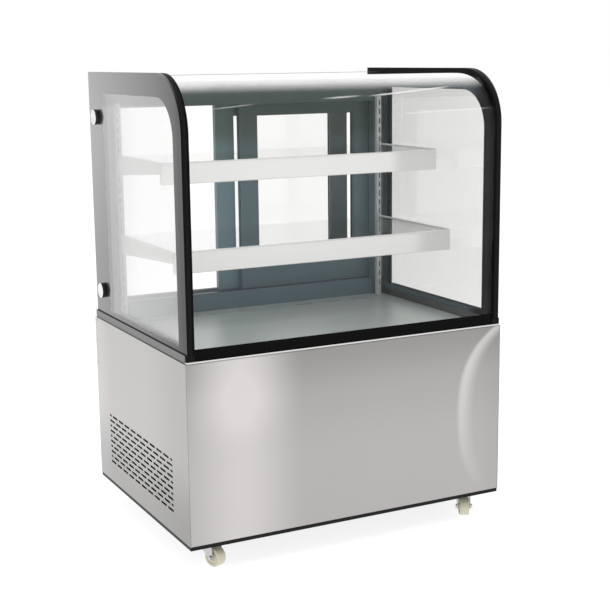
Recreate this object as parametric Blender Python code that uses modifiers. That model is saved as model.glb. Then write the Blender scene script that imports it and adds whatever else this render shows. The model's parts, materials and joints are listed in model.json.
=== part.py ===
# Refrigerated bakery display case: a curved glass cabinet on a steel machine compartment, on four casters.
# Metres, +Z up. The front faces -Y, +X is to the right seen from the front, and the origin is on the
# floor under the middle of the case.

import math

import bmesh
import bpy
from mathutils import Matrix, Vector

# ---------------------------------------------------------------- driving dimensions
WIDTH = 0.900  # steel cabinet, across X
DEPTH = 0.6666  # steel cabinet, along Y
HEIGHT = 1.200  # floor to the top of the end glass
GAP = 0.0003  # between pieces that touch
SHEET = 0.0012  # steel sheet

CUT_MARGIN = 0.0020  # how far a cutter reaches past what it cuts

TRAY_BOTTOM = 0.0650
TRAY_FLOOR = 0.0670  # upper face of the tray's own sheet
TRAY_WALL = 0.0015
TRAY_INSET = 0.0010  # behind the faces of the cabinet
CABINET_BOTTOM = 0.0750
CABINET_TOP = 0.5275
FLANGE = 0.0242  # return flanges of the steel panels
FLANGE_STEP = 0.0004  # the front panel's upper flange is this much shorter
FRONT_BEND = 0.0030  # radius of the front panel's upper edge
REAR_PANEL_INSET = 0.0156

VENT_ROWS = 10
VENT_COLUMNS = 10
VENT_PITCH = 0.0477
VENT_ROW_PITCH = 0.01465
VENT_LENGTH = 0.0378
VENT_HEIGHT = 0.0060
VENT_MIDDLE = 0.0049  # middle of the field, along Y
VENT_BOTTOM = 0.1342  # middle of the lowest row

REAR_VENT_ROWS = [0.115 + 0.018 * row for row in range(10)]
REAR_VENT_COLUMNS = (-0.130, 0.085, 0.300)
REAR_VENT_HALF = (0.090, 0.004)  # half the length and half the height of a slot

RAIL_TOP = 0.5480  # top of the rails under the end glass
RAIL_FACE = 0.4470  # outer faces of the rails
RAIL_FRONT = -0.3237
RAIL_REAR = 0.3310
FRONT_RAIL_TOP = 0.5322
FRONT_RAIL_SETBACK = 0.0005  # behind the face of the front panel
SEAT_DEPTH = 0.0135  # seat of the bent glass, from the glass's front face
UPSTAND_REAR = 0.0095  # upstand behind the bent glass, from the same face
UPSTAND_DROP = 0.0030  # below the tops of the side rails

END_OUTER = 0.4440  # outer face of the end glass
END_INNER = 0.4245  # inner face of the end glass
PANE = 0.0050  # one pane of the double glazing
END_FRONT = -0.3320
END_REAR = 0.3245
END_CORNER = 0.140  # radius of the upper front corner
SPACER_WIDTH = 0.0120

GLASS = 0.0060  # bent glass and shelves
BENT_FRONT = -0.3285
BENT_TOP = 1.1880
BENT_RADIUS = 0.1350
INSIDE = 0.4240  # half the width between the end glass

BACK_FRONT = 0.2280  # front faces of the header and posts
SILL_FRONT = 0.2430
SILL_BOTTOM = 0.5265
SILL_TOP = 0.5780
HEADER_BOTTOM = 1.1050
POST_INNER = 0.3900
POST_LEG = 0.4000
POST_STEP = 0.2575
TRACK_DEPTH = 0.0100
HEADER_TRACK_DEPTH = 0.0300

DOOR_WIDTH = 0.4240
DOOR_THICKNESS = 0.0180
DOOR_BOTTOM = 0.5690
DOOR_TOP = 1.1270
DOOR_STILE = 0.0540
DOOR_GLASS_BOTTOM = 0.6750
DOOR_GLASS_TOP = 1.0750
INNER_TRACK = 0.2710  # middle of each track, along Y
OUTER_TRACK = 0.2950
TRACK_CLEARANCE = 0.0010
LEFT_DOOR_MIDDLE = 0.1200  # the left door stands open, in front of the right one
RIGHT_DOOR_MIDDLE = 0.1830  # the right door is shut
PULL_HALF = 0.0110  # finger recess in each door's rear face
PULL_DEPTH = 0.0070
PULL_HEIGHTS = (0.8000, 0.9100)

DECK_TOP = 0.5280
DECK_FRONT = -0.3085
DECK_THICKNESS = 0.0015
TUB_HALF = 0.4235
TUB_BOTTOM = 0.3600
TUB_WALL = 0.0300
TUB_REAR = 0.3160
DECK_SLOTS = 8  # in each of two rows
DECK_SLOT_PITCH = 0.090
DECK_SLOT_HALF = (0.030, 0.004)
DECK_SLOT_INSET = 0.050  # from the deck's front and from the sill

COIL_TANK = 0.0120  # upper and lower tanks of a coil block
COIL_FIN = 0.0030
EVAPORATOR_HALF = 0.2800
EVAPORATOR_TOP = 0.5000
EVAPORATOR_FACES = (0.0600, 0.1400)
EVAPORATOR_GAP = 0.0250

SHELVES = {"upper": (0.9800, -0.0910), "lower": (0.7670, -0.1630)}  # light bar's top and front face
BAR_HEIGHT = 0.0540
BAR_DEPTH = 0.0120
SHELF_HALF = 0.4015
BRACKET_INNER = 0.4020
BRACKET_PLATE = 0.0025
BRACKET_FLANGE = 0.0120
BRACKET_REAR_HEIGHT = 0.0545
BRACKET_FRONT_HEIGHT = 0.0300
BRACKET_LIP = 0.0022  # how far the bracket's plate stands above the shelf glass
BRACKET_NOSE = 0.0050  # behind the face of the light bar
SHELF_PLAY = 0.0020  # between the shelf glass and the standards
FLANGE_SHEET = 0.0020

CANOPY_HALF = 0.3900
CANOPY_FRONT = 0.1900
CANOPY_SHOULDER = 1.1600
CANOPY_BOTTOM = 1.1520
CANOPY_FACE = (0.1960, 0.2190)  # flat of the diffuser, along Y
CANOPY_GAP = 0.0010

STANDARD_INNER = 0.3945
STANDARD_OUTER = 0.4085
STANDARD_FRONT = 0.2165
STANDARD_REAR = 0.2277
STANDARD_TOP = 1.1180
STANDARD_SHEET = 0.0015
SLOT_PITCH = (SHELVES["upper"][0] - SHELVES["lower"][0]) / 8
SLOT_HEIGHT = 0.0160
SLOT_SIDES = (0.4010, 0.4055)
SLOT_DROP = 0.0130  # from the top of a shelf to the middle of its upper tab
SLOT_MARGIN = (0.0200, 0.0120)  # from the deck and from the standard's top
TAB_HEIGHT = 0.0120
TAB_REAR = 0.2235

KNOB_Y = 0.2620
KNOB_HEIGHTS = {"upper": 1.0820, "lower": 0.6130}
KNOB_RADIUS = 0.0205
KNOB_STANDOFF = 0.0120
SHANK_RADIUS = 0.0050
SHANK_HOLE = 0.0056
SHANK_END = 0.4090

CASTER_PIVOT = (0.3765, 0.2775)
CASTER_TRAIL = 0.0180
WHEEL_RADIUS = 0.0250
WHEEL_HALF = 0.0130
WHEEL_HUB_HALF = 0.0150
AXLE_RADIUS = 0.0030
AXLE_BORE = 0.00308
WHEEL_STEPS = 24
CASTER_TRAILS = {  # heading of each wheel from its pivot, in degrees from +X
    "front_left": -68.0,
    "front_right": -118.0,
    "rear_left": 40.0,
    "rear_right": 52.0,
}

FAN_MIDDLE = Vector((-0.2735, 0.0, 0.1950))
FAN_RADIUS = 0.0900
FAN_BLADES = 5
SHAFT_RADIUS = 0.0040
SHAFT_BORE = 0.0041
HUB_RADIUS = 0.0260
HUB_LENGTH = 0.0200
BLADE_ROOT = 0.0180
BLADE_CHORD = 0.0420
BLADE_SHEET = 0.0025
BLADE_PITCH = math.radians(24)

COMPRESSOR_PLACE = Vector((0.1100, 0.0900, TRAY_FLOOR + GAP))
COMPRESSOR_FOOT = Vector((0.0950, 0.0650, 0.0140))  # half width, half depth, height
CONDENSER_HALF = 0.1400
CONDENSER_TOP = 0.3100
CONDENSER_FACES = (-0.3600, -0.3100)
CONDENSER_GAP = 0.0085
SHROUD_REAR = -0.2860
SHROUD_CLEARANCE = 0.0060  # round the fan's blades
FAN_BAR = (-0.2605, -0.2560)  # bar that carries the motor, along X
FAN_BAR_HALF = (0.1300, 0.0060)  # half its length and half its height

SWITCH_HEIGHT = 0.3280  # middle of the switches on the rear panel
SWITCHES = {"light": -0.2250, "power": -0.1750}
ROCKER_TILT = math.radians(8)
GLAND_PLACE = (-0.3800, 0.1200)
THERMOSTAT_MIDDLE = -0.3050
GLAND_HOLE = 0.0092
THERMOSTAT_HALF = (0.0390, 0.0175)  # half the bezel's width and height
THERMOSTAT_BEZEL = 0.0040
THERMOSTAT_DEPTH = 0.0450
THERMOSTAT_HOLE = (0.0360, 0.0145)
THERMOSTAT_FIT = 0.0005  # between its body and the hole
SWITCH_HOLE = (0.0065, 0.0110)
SWITCH_HALF = 0.0058

FINISHES = {  # colour, roughness, metallic
    "brushed_steel": ((0.62, 0.61, 0.60), 0.32, 1.0),
    "black_steel": ((0.03, 0.03, 0.03), 0.45, 0.0),
    "grey_aluminium": ((0.36, 0.37, 0.36), 0.40, 1.0),
    "white_liner": ((0.80, 0.80, 0.78), 0.50, 0.0),
    "clear_glass": ((0.80, 0.88, 0.86), 0.03, 0.0),
    "black_spacer": ((0.02, 0.02, 0.02), 0.60, 0.0),
    "black_frame": ((0.02, 0.03, 0.03), 0.35, 0.0),
    "zinc": ((0.60, 0.60, 0.62), 0.35, 1.0),
    "chrome": ((0.80, 0.80, 0.82), 0.08, 1.0),
    "diffuser": ((0.92, 0.92, 0.90), 0.50, 0.0),
    "cream_nylon": ((0.80, 0.77, 0.68), 0.50, 0.0),
    "black_plastic": ((0.02, 0.02, 0.02), 0.40, 0.0),
    "compressor_black": ((0.03, 0.03, 0.035), 0.30, 0.0),
    "coil_aluminium": ((0.65, 0.66, 0.67), 0.45, 1.0),
    "switch_green": ((0.05, 0.40, 0.12), 0.35, 0.0),
}


# ---------------------------------------------------------------- scene and modelling helpers
def clear_scene():
    for old in list(bpy.data.objects):
        bpy.data.objects.remove(old, do_unlink=True)


def new_collection(name):
    made = bpy.data.collections.new(name)
    bpy.context.scene.collection.children.link(made)
    return made


clear_scene()
PARTS = new_collection("bakery_display_case")
CUTTERS = new_collection("cutters")


def set_finish(obj, finish):
    colour, roughness, metallic = FINISHES[finish]
    material = bpy.data.materials.new(obj.name + " " + finish)
    material.use_nodes = True
    shader = material.node_tree.nodes["Principled BSDF"]
    shader.inputs["Base Color"].default_value = (*colour, 1.0)
    shader.inputs["Roughness"].default_value = roughness
    shader.inputs["Metallic"].default_value = metallic
    material.diffuse_color = (*colour, 1.0)
    obj.data.materials.clear()
    obj.data.materials.append(material)


def add_object(name, mesh, finish):
    """A part when it has a finish, and otherwise a hidden cutter or addition."""
    obj = bpy.data.objects.new(name, mesh)
    if finish:
        PARTS.objects.link(obj)
        set_finish(obj, finish)
        return obj
    CUTTERS.objects.link(obj)
    obj.hide_render = True
    obj.display_type = "WIRE"
    return obj


def mesh_from(name, made):
    mesh = bpy.data.meshes.new(name)
    made.to_mesh(mesh)
    made.free()
    return mesh


def boxes(name, corners, finish=None):
    """One mesh of the boxes between these (low, high) corners, its origin in the middle of the first."""
    middle = (Vector(corners[0][0]) + Vector(corners[0][1])) / 2
    made = bmesh.new()
    for low, high in corners:
        size = Vector(high) - Vector(low)
        place = Matrix.Translation((Vector(low) + Vector(high)) / 2 - middle)
        bmesh.ops.create_cube(made, size=1.0, matrix=place @ Matrix.Diagonal((*size, 1.0)))
    obj = add_object(name, mesh_from(name, made), finish)
    obj.location = middle
    return obj


def box(name, low, high, finish=None):
    return boxes(name, [(low, high)], finish)


AXIS_TURNS = {
    "X": (math.pi / 2, 0.0, math.pi / 2),  # the outline is in (y, z)
    "Y": (math.pi / 2, 0.0, 0.0),  # the outline is in (x, z)
    "Z": (0.0, 0.0, 0.0),  # the outline is in (x, y)
}


def prism(name, outline, axis, start, end, finish=None, holes=()):
    """A flat outline, with its holes, extruded along an axis from start to end."""
    curve = bpy.data.curves.new(name, "CURVE")
    curve.dimensions = "2D"
    curve.fill_mode = "BOTH"
    curve.extrude = abs(end - start) / 2
    for loop in (outline, *holes):
        spline = curve.splines.new("POLY")
        spline.points.add(len(loop) - 1)
        for point, place in zip(spline.points, loop):
            point.co = (place[0], place[1], 0.0, 1.0)
        spline.use_cyclic_u = True
    guide = bpy.data.objects.new(name + " outline", curve)
    bpy.context.scene.collection.objects.link(guide)
    guide.rotation_euler = AXIS_TURNS[axis]
    guide.location["XYZ".index(axis)] = (start + end) / 2
    graph = bpy.context.evaluated_depsgraph_get()
    mesh = bpy.data.meshes.new_from_object(guide.evaluated_get(graph))
    matrix = guide.matrix_world.copy()
    bpy.data.objects.remove(guide)
    made = bmesh.new()
    made.from_mesh(mesh)
    bmesh.ops.remove_doubles(made, verts=made.verts, dist=1e-6)
    bmesh.ops.recalc_face_normals(made, faces=made.faces)
    obj = add_object(name, mesh_from(name, made), finish)
    obj.matrix_world = matrix
    return obj


def cylinder(name, middle, direction, radius, length, segments, finish=None):
    made = bmesh.new()
    bmesh.ops.create_cone(
        made, cap_ends=True, segments=segments, radius1=radius, radius2=radius, depth=length
    )
    obj = add_object(name, mesh_from(name, made), finish)
    obj.rotation_mode = "QUATERNION"
    obj.rotation_quaternion = Vector((0, 0, 1)).rotation_difference(Vector(direction))
    obj.location = middle
    return obj


def turned(name, profile, steps, finish, closed=False):
    """A profile of (radius, height) points, from the top down, turned round the object's own Z axis."""
    made = bmesh.new()
    points = [made.verts.new((radius, 0.0, height)) for radius, height in profile]
    ends = points[1:] + points[:1] if closed else points[1:]
    for first, second in zip(points, ends):
        made.edges.new((first, second))
    obj = add_object(name, mesh_from(name, made), finish)
    screw = obj.modifiers.new("turn", "SCREW")
    screw.steps = steps
    screw.render_steps = steps
    screw.use_merge_vertices = True
    screw.merge_threshold = 0.00001
    screw.use_smooth_shade = True
    return obj


def combine(target, other, operation):
    modifier = target.modifiers.new(operation.lower() + " " + other.name, "BOOLEAN")
    modifier.object = other
    modifier.operation = operation
    modifier.solver = "EXACT"


def cut(target, *others):
    for other in others:
        combine(target, other, "DIFFERENCE")


def join(target, *others):
    for other in others:
        combine(target, other, "UNION")


def smooth(obj, degrees=35):
    obj.data.shade_smooth()
    obj.data.set_sharp_from_angle(angle=math.radians(degrees))


def arc(middle, radius, start, end, steps):
    """Points of an arc, both ends included, with its angles in degrees."""
    turn = math.radians(end - start) / steps
    first = math.radians(start)
    return [
        (middle[0] + radius * math.cos(first + i * turn), middle[1] + radius * math.sin(first + i * turn))
        for i in range(steps + 1)
    ]


def circle(middle, radius, steps):
    return arc(middle, radius, 0, 360, steps)[:-1]


def rectangle(low, high):
    return [low, (high[0], low[1]), high, (low[0], high[1])]


def mirrored(low, high, side):
    """The box's corners on the side of +X (side 1) or of -X (side -1)."""
    if side > 0:
        return low, high
    return (-high[0], *low[1:]), (-low[0], *high[1:])


SIDES = {"left": -1, "right": 1}


# ---------------------------------------------------------------- base and steel cabinet
def make_base_tray():
    half = (WIDTH / 2 - TRAY_INSET, DEPTH / 2 - TRAY_INSET)
    tray = box("base_tray", (-half[0], -half[1], TRAY_BOTTOM), (*half, CABINET_BOTTOM), "black_steel")
    inside = (half[0] - TRAY_WALL, half[1] - TRAY_WALL)
    low = (-inside[0], -inside[1], TRAY_FLOOR)
    cut(tray, box("tray pocket", low, (*inside, CABINET_BOTTOM + CUT_MARGIN)))


def make_front_panel():
    face = -DEPTH / 2
    bottom = CABINET_BOTTOM + GAP
    upper_flange = face + FLANGE - FLANGE_STEP
    profile = [
        (face, bottom),
        (face + FLANGE, bottom),
        (face + FLANGE, bottom + SHEET),
        (face + SHEET, bottom + SHEET),
        (face + SHEET, CABINET_TOP - SHEET),
        (upper_flange, CABINET_TOP - SHEET),
        (upper_flange, CABINET_TOP),
        *arc((face + FRONT_BEND, CABINET_TOP - FRONT_BEND), FRONT_BEND, 90, 180, 4),
    ]
    half = WIDTH / 2 - SHEET - GAP
    smooth(prism("front_panel", profile, "X", -half, half, "brushed_steel"))


def vent_slots():
    """The punched slots of a side panel: full rows, and between them rows set half a pitch along
    that end in short slots, so that the field is flush at both ends."""
    field = (VENT_COLUMNS - 1) / 2 * VENT_PITCH + VENT_LENGTH / 2
    spans = []
    for row in range(VENT_ROWS):
        shift = row % 2
        for column in range(VENT_COLUMNS - shift):
            middle = (column - (VENT_COLUMNS - 1 - shift) / 2) * VENT_PITCH
            spans.append((row, middle - VENT_LENGTH / 2, middle + VENT_LENGTH / 2))
        if shift:
            short = VENT_LENGTH - VENT_PITCH / 2
            spans += [(row, -field, short - field), (row, field - short, field)]
    slots = []
    for row, start, end in spans:
        z = VENT_BOTTOM + row * VENT_ROW_PITCH
        low = (WIDTH / 2 - SHEET - CUT_MARGIN, VENT_MIDDLE + start, z - VENT_HEIGHT / 2)
        slots.append((low, (WIDTH / 2 + CUT_MARGIN, VENT_MIDDLE + end, z + VENT_HEIGHT / 2)))
    return slots


def make_side_panel(side):
    sign = SIDES[side]
    sheet = mirrored(
        (WIDTH / 2 - SHEET, -DEPTH / 2, CABINET_BOTTOM + GAP), (WIDTH / 2, DEPTH / 2, CABINET_TOP), sign
    )
    panel = box(side + "_side_panel", *sheet, "brushed_steel")
    flange = mirrored(
        (WIDTH / 2 - FLANGE, -DEPTH / 2 + FLANGE + GAP, CABINET_TOP - SHEET),
        (WIDTH / 2 - SHEET / 2, DEPTH / 2 - CUT_MARGIN, CABINET_TOP),
        sign,
    )
    join(panel, box(side + " panel flange", *flange))
    cut(panel, boxes(side + " vent slots", [mirrored(*slot, sign) for slot in vent_slots()]))


def around(middle, half):
    """The rectangle with this middle and these half sizes."""
    low = (middle[0] - half[0], middle[1] - half[1])
    return rectangle(low, (middle[0] + half[0], middle[1] + half[1]))


def make_rear_panel():
    half = WIDTH / 2 - SHEET - GAP
    rear = DEPTH / 2 - REAR_PANEL_INSET
    holes = [around((x, z), REAR_VENT_HALF) for z in REAR_VENT_ROWS for x in REAR_VENT_COLUMNS]
    holes.append(circle(GLAND_PLACE, GLAND_HOLE, 16))
    holes.append(around((THERMOSTAT_MIDDLE, SWITCH_HEIGHT), THERMOSTAT_HOLE))
    holes += [around((x, SWITCH_HEIGHT), SWITCH_HOLE) for x in SWITCHES.values()]
    edges = rectangle((-half, CABINET_BOTTOM + GAP), (half, SILL_BOTTOM - GAP))
    prism("rear_panel", edges, "Y", rear - SHEET, rear, "brushed_steel", holes)


def make_rails():
    for side, sign in SIDES.items():
        low, high = mirrored(
            (END_INNER, RAIL_FRONT, CABINET_TOP + GAP), (RAIL_FACE, RAIL_REAR, RAIL_TOP - GAP), sign
        )
        box(side + "_trim_rail", low, high, "grey_aluminium")
    bottom = CABINET_TOP + GAP
    rail = box(
        "front_trim_rail",
        (-RAIL_FACE, -DEPTH / 2 + FRONT_RAIL_SETBACK, bottom),
        (RAIL_FACE, RAIL_FRONT - GAP, FRONT_RAIL_TOP),
        "grey_aluminium",
    )
    seat = box(
        "front rail seat",
        (-INSIDE, RAIL_FRONT - CUT_MARGIN, bottom),
        (INSIDE, BENT_FRONT + SEAT_DEPTH, FRONT_RAIL_TOP),
    )
    upstand = box(
        "front rail upstand",
        (-INSIDE, BENT_FRONT + GLASS + GAP, bottom + SHEET),
        (INSIDE, BENT_FRONT + UPSTAND_REAR, RAIL_TOP - UPSTAND_DROP),
    )
    join(rail, seat, upstand)


# ---------------------------------------------------------------- insulated base
def make_tub_and_deck():
    top = SILL_BOTTOM - GAP
    tub = box("insulated_tub", (-TUB_HALF, DECK_FRONT, TUB_BOTTOM), (TUB_HALF, TUB_REAR, top), "white_liner")
    inside = TUB_HALF - TUB_WALL
    cavity = box(
        "tub cavity",
        (-inside, DECK_FRONT + TUB_WALL, TUB_BOTTOM + TUB_WALL),
        (inside, TUB_REAR - TUB_WALL, top + CUT_MARGIN),
    )
    cut(tub, cavity)
    slots = []
    for y in (DECK_FRONT + DECK_SLOT_INSET, SILL_FRONT - DECK_SLOT_INSET):
        for i in range(DECK_SLOTS):
            x = (i - (DECK_SLOTS - 1) / 2) * DECK_SLOT_PITCH
            slots.append(around((x, y), DECK_SLOT_HALF))
    edges = rectangle((-TUB_HALF, DECK_FRONT), (TUB_HALF, SILL_FRONT - GAP))
    prism("deck_plate", edges, "Z", DECK_TOP - DECK_THICKNESS, DECK_TOP, "brushed_steel", slots)


def finned_core(name, low, high, axis, faces, gap_width):
    """A coil block: upright fins between a top and a bottom tank, open right through along the axis."""
    pitch = gap_width + COIL_FIN
    count = int((high[0] - low[0] - COIL_TANK) / pitch)
    margin = (high[0] - low[0] - count * pitch + COIL_FIN) / 2
    holes = []
    for i in range(count):
        left = low[0] + margin + i * pitch
        holes.append(rectangle((left, low[1] + COIL_TANK), (left + gap_width, high[1] - COIL_TANK)))
    return prism(name, rectangle(low, high), axis, *faces, "coil_aluminium", holes)


def make_evaporator():
    low = (-EVAPORATOR_HALF, TUB_BOTTOM + TUB_WALL + GAP)
    high = (EVAPORATOR_HALF, EVAPORATOR_TOP)
    finned_core("evaporator_coil", low, high, "Y", EVAPORATOR_FACES, EVAPORATOR_GAP)


# ---------------------------------------------------------------- glass cabinet
def end_outline(inset=0.0):
    """The end glass in (y, z): straight sides and a round upper front corner."""
    low = (END_REAR - inset, RAIL_TOP + GAP + inset)
    front, top = END_FRONT + inset, HEIGHT - inset
    middle = (END_FRONT + END_CORNER, HEIGHT - END_CORNER)
    return [low, (END_REAR - inset, top), *arc(middle, END_CORNER - inset, 90, 180, 14), (front, low[1])]


def make_end_glass(side):
    sign = SIDES[side]
    shanks = [circle((KNOB_Y, z), SHANK_HOLE, 16) for z in KNOB_HEIGHTS.values()]
    layers = {
        "outer_pane": (END_OUTER - PANE, END_OUTER, "clear_glass", shanks),
        "glass_spacer": (
            END_INNER + PANE + GAP,
            END_OUTER - PANE - GAP,
            "black_spacer",
            [end_outline(SPACER_WIDTH)],
        ),
        "inner_pane": (END_INNER, END_INNER + PANE, "clear_glass", shanks),
    }
    for layer, (inner, outer, finish, holes) in layers.items():
        faces = sorted((sign * inner, sign * outer))
        smooth(prism(side + "_" + layer, end_outline(), "X", *faces, finish, holes), 20)


def make_bent_glass():
    middle = (BENT_FRONT + BENT_RADIUS, BENT_TOP - BENT_RADIUS)
    rear = BACK_FRONT - GAP
    outline = [
        (BENT_FRONT, FRONT_RAIL_TOP + GAP),
        (BENT_FRONT + GLASS, FRONT_RAIL_TOP + GAP),
        *arc(middle, BENT_RADIUS - GLASS, 180, 90, 16),
        (rear, BENT_TOP - GLASS),
        (rear, BENT_TOP),
        *arc(middle, BENT_RADIUS, 90, 180, 16),
    ]
    smooth(prism("front_bent_glass", outline, "X", -INSIDE, INSIDE, "clear_glass"), 20)


def track_sides(middle):
    half = DOOR_THICKNESS / 2 + TRACK_CLEARANCE
    return middle - half, middle + half


def make_header_and_sill():
    inner, outer = track_sides(INNER_TRACK), track_sides(OUTER_TRACK)
    ceiling = HEADER_BOTTOM + HEADER_TRACK_DEPTH
    header = [
        (BACK_FRONT, HEADER_BOTTOM),
        (inner[0], HEADER_BOTTOM),
        (inner[0], ceiling),
        (inner[1], ceiling),
        (inner[1], HEADER_BOTTOM),
        (outer[0], HEADER_BOTTOM),
        (outer[0], ceiling),
        (outer[1], ceiling),
        (outer[1], HEADER_BOTTOM),
        (END_REAR, HEADER_BOTTOM),
        (END_REAR, BENT_TOP),
        (BACK_FRONT, BENT_TOP),
    ]
    prism("rear_header", header, "X", -INSIDE, INSIDE, "black_frame")
    floor = SILL_TOP - TRACK_DEPTH
    sill = [
        (SILL_FRONT, SILL_BOTTOM),
        (SILL_FRONT, SILL_TOP),
        (inner[0], SILL_TOP),
        (inner[0], floor),
        (inner[1], floor),
        (inner[1], SILL_TOP),
        (outer[0], SILL_TOP),
        (outer[0], floor),
        (outer[1], floor),
        (outer[1], SILL_TOP),
        (END_REAR, SILL_TOP),
        (END_REAR, SILL_BOTTOM),
    ]
    prism("rear_sill", sill, "X", -INSIDE, INSIDE, "black_frame")


def make_post(side):
    sign = SIDES[side]
    outline = [
        (sign * POST_INNER, BACK_FRONT),
        (sign * INSIDE, BACK_FRONT),
        (sign * INSIDE, END_REAR),
        (sign * POST_LEG, END_REAR),
        (sign * POST_LEG, POST_STEP),
        (sign * POST_INNER, POST_STEP),
    ]
    ends = (SILL_TOP + GAP, HEADER_BOTTOM - GAP)
    post = prism(side + "_rear_post", outline, "Z", *ends, "black_frame")
    for level, z in KNOB_HEIGHTS.items():
        name = side + " post hole " + level
        place = (sign * INSIDE, KNOB_Y, z)
        depth = INSIDE - SHANK_END + CUT_MARGIN / 2
        cut(post, cylinder(name, place, (1, 0, 0), SHANK_HOLE, 2 * depth, 16))


def slot_heights():
    """Middles of the standard's slots, on the grid that both shelves' tabs hang on."""
    first = SHELVES["upper"][0] - SLOT_DROP
    below = int((first - DECK_TOP - SLOT_MARGIN[0]) / SLOT_PITCH)
    above = int((STANDARD_TOP - SLOT_MARGIN[1] - first) / SLOT_PITCH)
    return [first + i * SLOT_PITCH for i in range(-below, above + 1)]


def make_standard(side):
    sign = SIDES[side]
    web = STANDARD_FRONT + STANDARD_SHEET
    outline = [
        (sign * STANDARD_INNER, STANDARD_FRONT),
        (sign * STANDARD_OUTER, STANDARD_FRONT),
        (sign * STANDARD_OUTER, STANDARD_REAR),
        (sign * (STANDARD_OUTER - STANDARD_SHEET), STANDARD_REAR),
        (sign * (STANDARD_OUTER - STANDARD_SHEET), web),
        (sign * (STANDARD_INNER + STANDARD_SHEET), web),
        (sign * (STANDARD_INNER + STANDARD_SHEET), STANDARD_REAR),
        (sign * STANDARD_INNER, STANDARD_REAR),
    ]
    ends = (DECK_TOP + GAP, STANDARD_TOP)
    standard = prism(side + "_shelf_standard", outline, "Z", *ends, "grey_aluminium")
    slots = []
    for z in slot_heights():
        low = (SLOT_SIDES[0], STANDARD_FRONT - CUT_MARGIN, z - SLOT_HEIGHT / 2)
        high = (SLOT_SIDES[1], web + CUT_MARGIN, z + SLOT_HEIGHT / 2)
        slots.append(mirrored(low, high, sign))
    cut(standard, boxes(side + " standard slots", slots))


def make_knob(side, level):
    sign = SIDES[side]
    shank = END_OUTER - SHANK_END
    profile = [
        (0.0, KNOB_STANDOFF),
        (KNOB_RADIUS - 0.0060, KNOB_STANDOFF),
        (KNOB_RADIUS - 0.0018, KNOB_STANDOFF - 0.0014),
        (KNOB_RADIUS, KNOB_STANDOFF - 0.0045),
        (KNOB_RADIUS, GAP),
        (SHANK_RADIUS, GAP),
        (SHANK_RADIUS, -shank),
        (0.0, -shank),
    ]
    knob = turned(side + "_clamp_knob_" + level, profile, 20, "chrome")
    knob.location = (sign * END_OUTER, KNOB_Y, KNOB_HEIGHTS[level])
    knob.rotation_euler = (0.0, sign * math.pi / 2, 0.0)


# ---------------------------------------------------------------- shelves and lights
def make_shelf(level):
    top, front = SHELVES[level]
    back_of_bar = front + BAR_DEPTH
    box(
        level + "_light_bar",
        (-SHELF_HALF, front, top - BAR_HEIGHT),
        (SHELF_HALF, back_of_bar, top),
        "diffuser",
    )
    seat = top - GLASS - 2 * GAP
    box(
        level + "_shelf_glass",
        (-SHELF_HALF, back_of_bar + GAP, seat + GAP),
        (SHELF_HALF, STANDARD_FRONT - SHELF_PLAY, seat + GAP + GLASS),
        "clear_glass",
    )
    for side, sign in SIDES.items():
        make_bracket(side, sign, level, seat)


def make_bracket(side, sign, level, seat):
    """A tapered plate hung on the standard by two tabs, with a flange under the shelf glass."""
    top, front = SHELVES[level]
    upper = top + BRACKET_LIP
    rear = STANDARD_FRONT - GAP
    nose = front + BRACKET_NOSE
    middles = (top - SLOT_DROP, top - SLOT_DROP - SLOT_PITCH)
    tabs = []
    for z in middles:
        low, high = z - TAB_HEIGHT / 2, z + TAB_HEIGHT / 2
        tabs += [(rear, high), (TAB_REAR, high), (TAB_REAR, low), (rear, low)]
    outline = [
        (nose, upper - BRACKET_FRONT_HEIGHT),
        (nose, upper),
        (rear, upper),
        *tabs,
        (rear, upper - BRACKET_REAR_HEIGHT),
    ]
    faces = sorted((sign * BRACKET_INNER, sign * (BRACKET_INNER + BRACKET_PLATE)))
    bracket = prism(level + "_" + side + "_bracket", outline, "X", *faces, "white_liner")
    low = (BRACKET_INNER - BRACKET_FLANGE, front + BAR_DEPTH + GAP, seat - FLANGE_SHEET)
    high = (BRACKET_INNER + BRACKET_PLATE / 2, rear, seat)
    join(bracket, box(level + side + " flange", *mirrored(low, high, sign)))


def make_canopy_light():
    top = BENT_TOP - GLASS - CANOPY_GAP
    rear = BACK_FRONT - CANOPY_GAP
    outline = [
        (CANOPY_FRONT, CANOPY_SHOULDER),
        (CANOPY_FACE[0], CANOPY_BOTTOM),
        (CANOPY_FACE[1], CANOPY_BOTTOM),
        (rear, CANOPY_SHOULDER),
        (rear, top),
        (CANOPY_FRONT, top),
    ]
    prism("canopy_light", outline, "X", -CANOPY_HALF, CANOPY_HALF, "diffuser")


# ---------------------------------------------------------------- sliding doors
def make_door(side, middle, track):
    low = (middle - DOOR_WIDTH / 2, DOOR_BOTTOM)
    high = (middle + DOOR_WIDTH / 2, DOOR_TOP)
    window = (
        (low[0] + DOOR_STILE, DOOR_GLASS_BOTTOM),
        (high[0] - DOOR_STILE, DOOR_GLASS_TOP),
    )
    faces = (track - DOOR_THICKNESS / 2, track + DOOR_THICKNESS / 2)
    holes = [rectangle(*window)]
    frame = prism(side + "_door_frame", rectangle(low, high), "Y", *faces, "black_frame", holes)
    grip = middle + SIDES[side] * (DOOR_WIDTH / 2 - DOOR_STILE / 2)
    pull = box(
        side + " door pull",
        (grip - PULL_HALF, faces[1] - PULL_DEPTH, PULL_HEIGHTS[0]),
        (grip + PULL_HALF, faces[1] + CUT_MARGIN, PULL_HEIGHTS[1]),
    )
    cut(frame, pull)
    box(
        side + "_door_glass",
        (window[0][0] + GAP, track - GLASS / 2, window[0][1] + GAP),
        (window[1][0] - GAP, track + GLASS / 2, window[1][1] - GAP),
        "clear_glass",
    )


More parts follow.
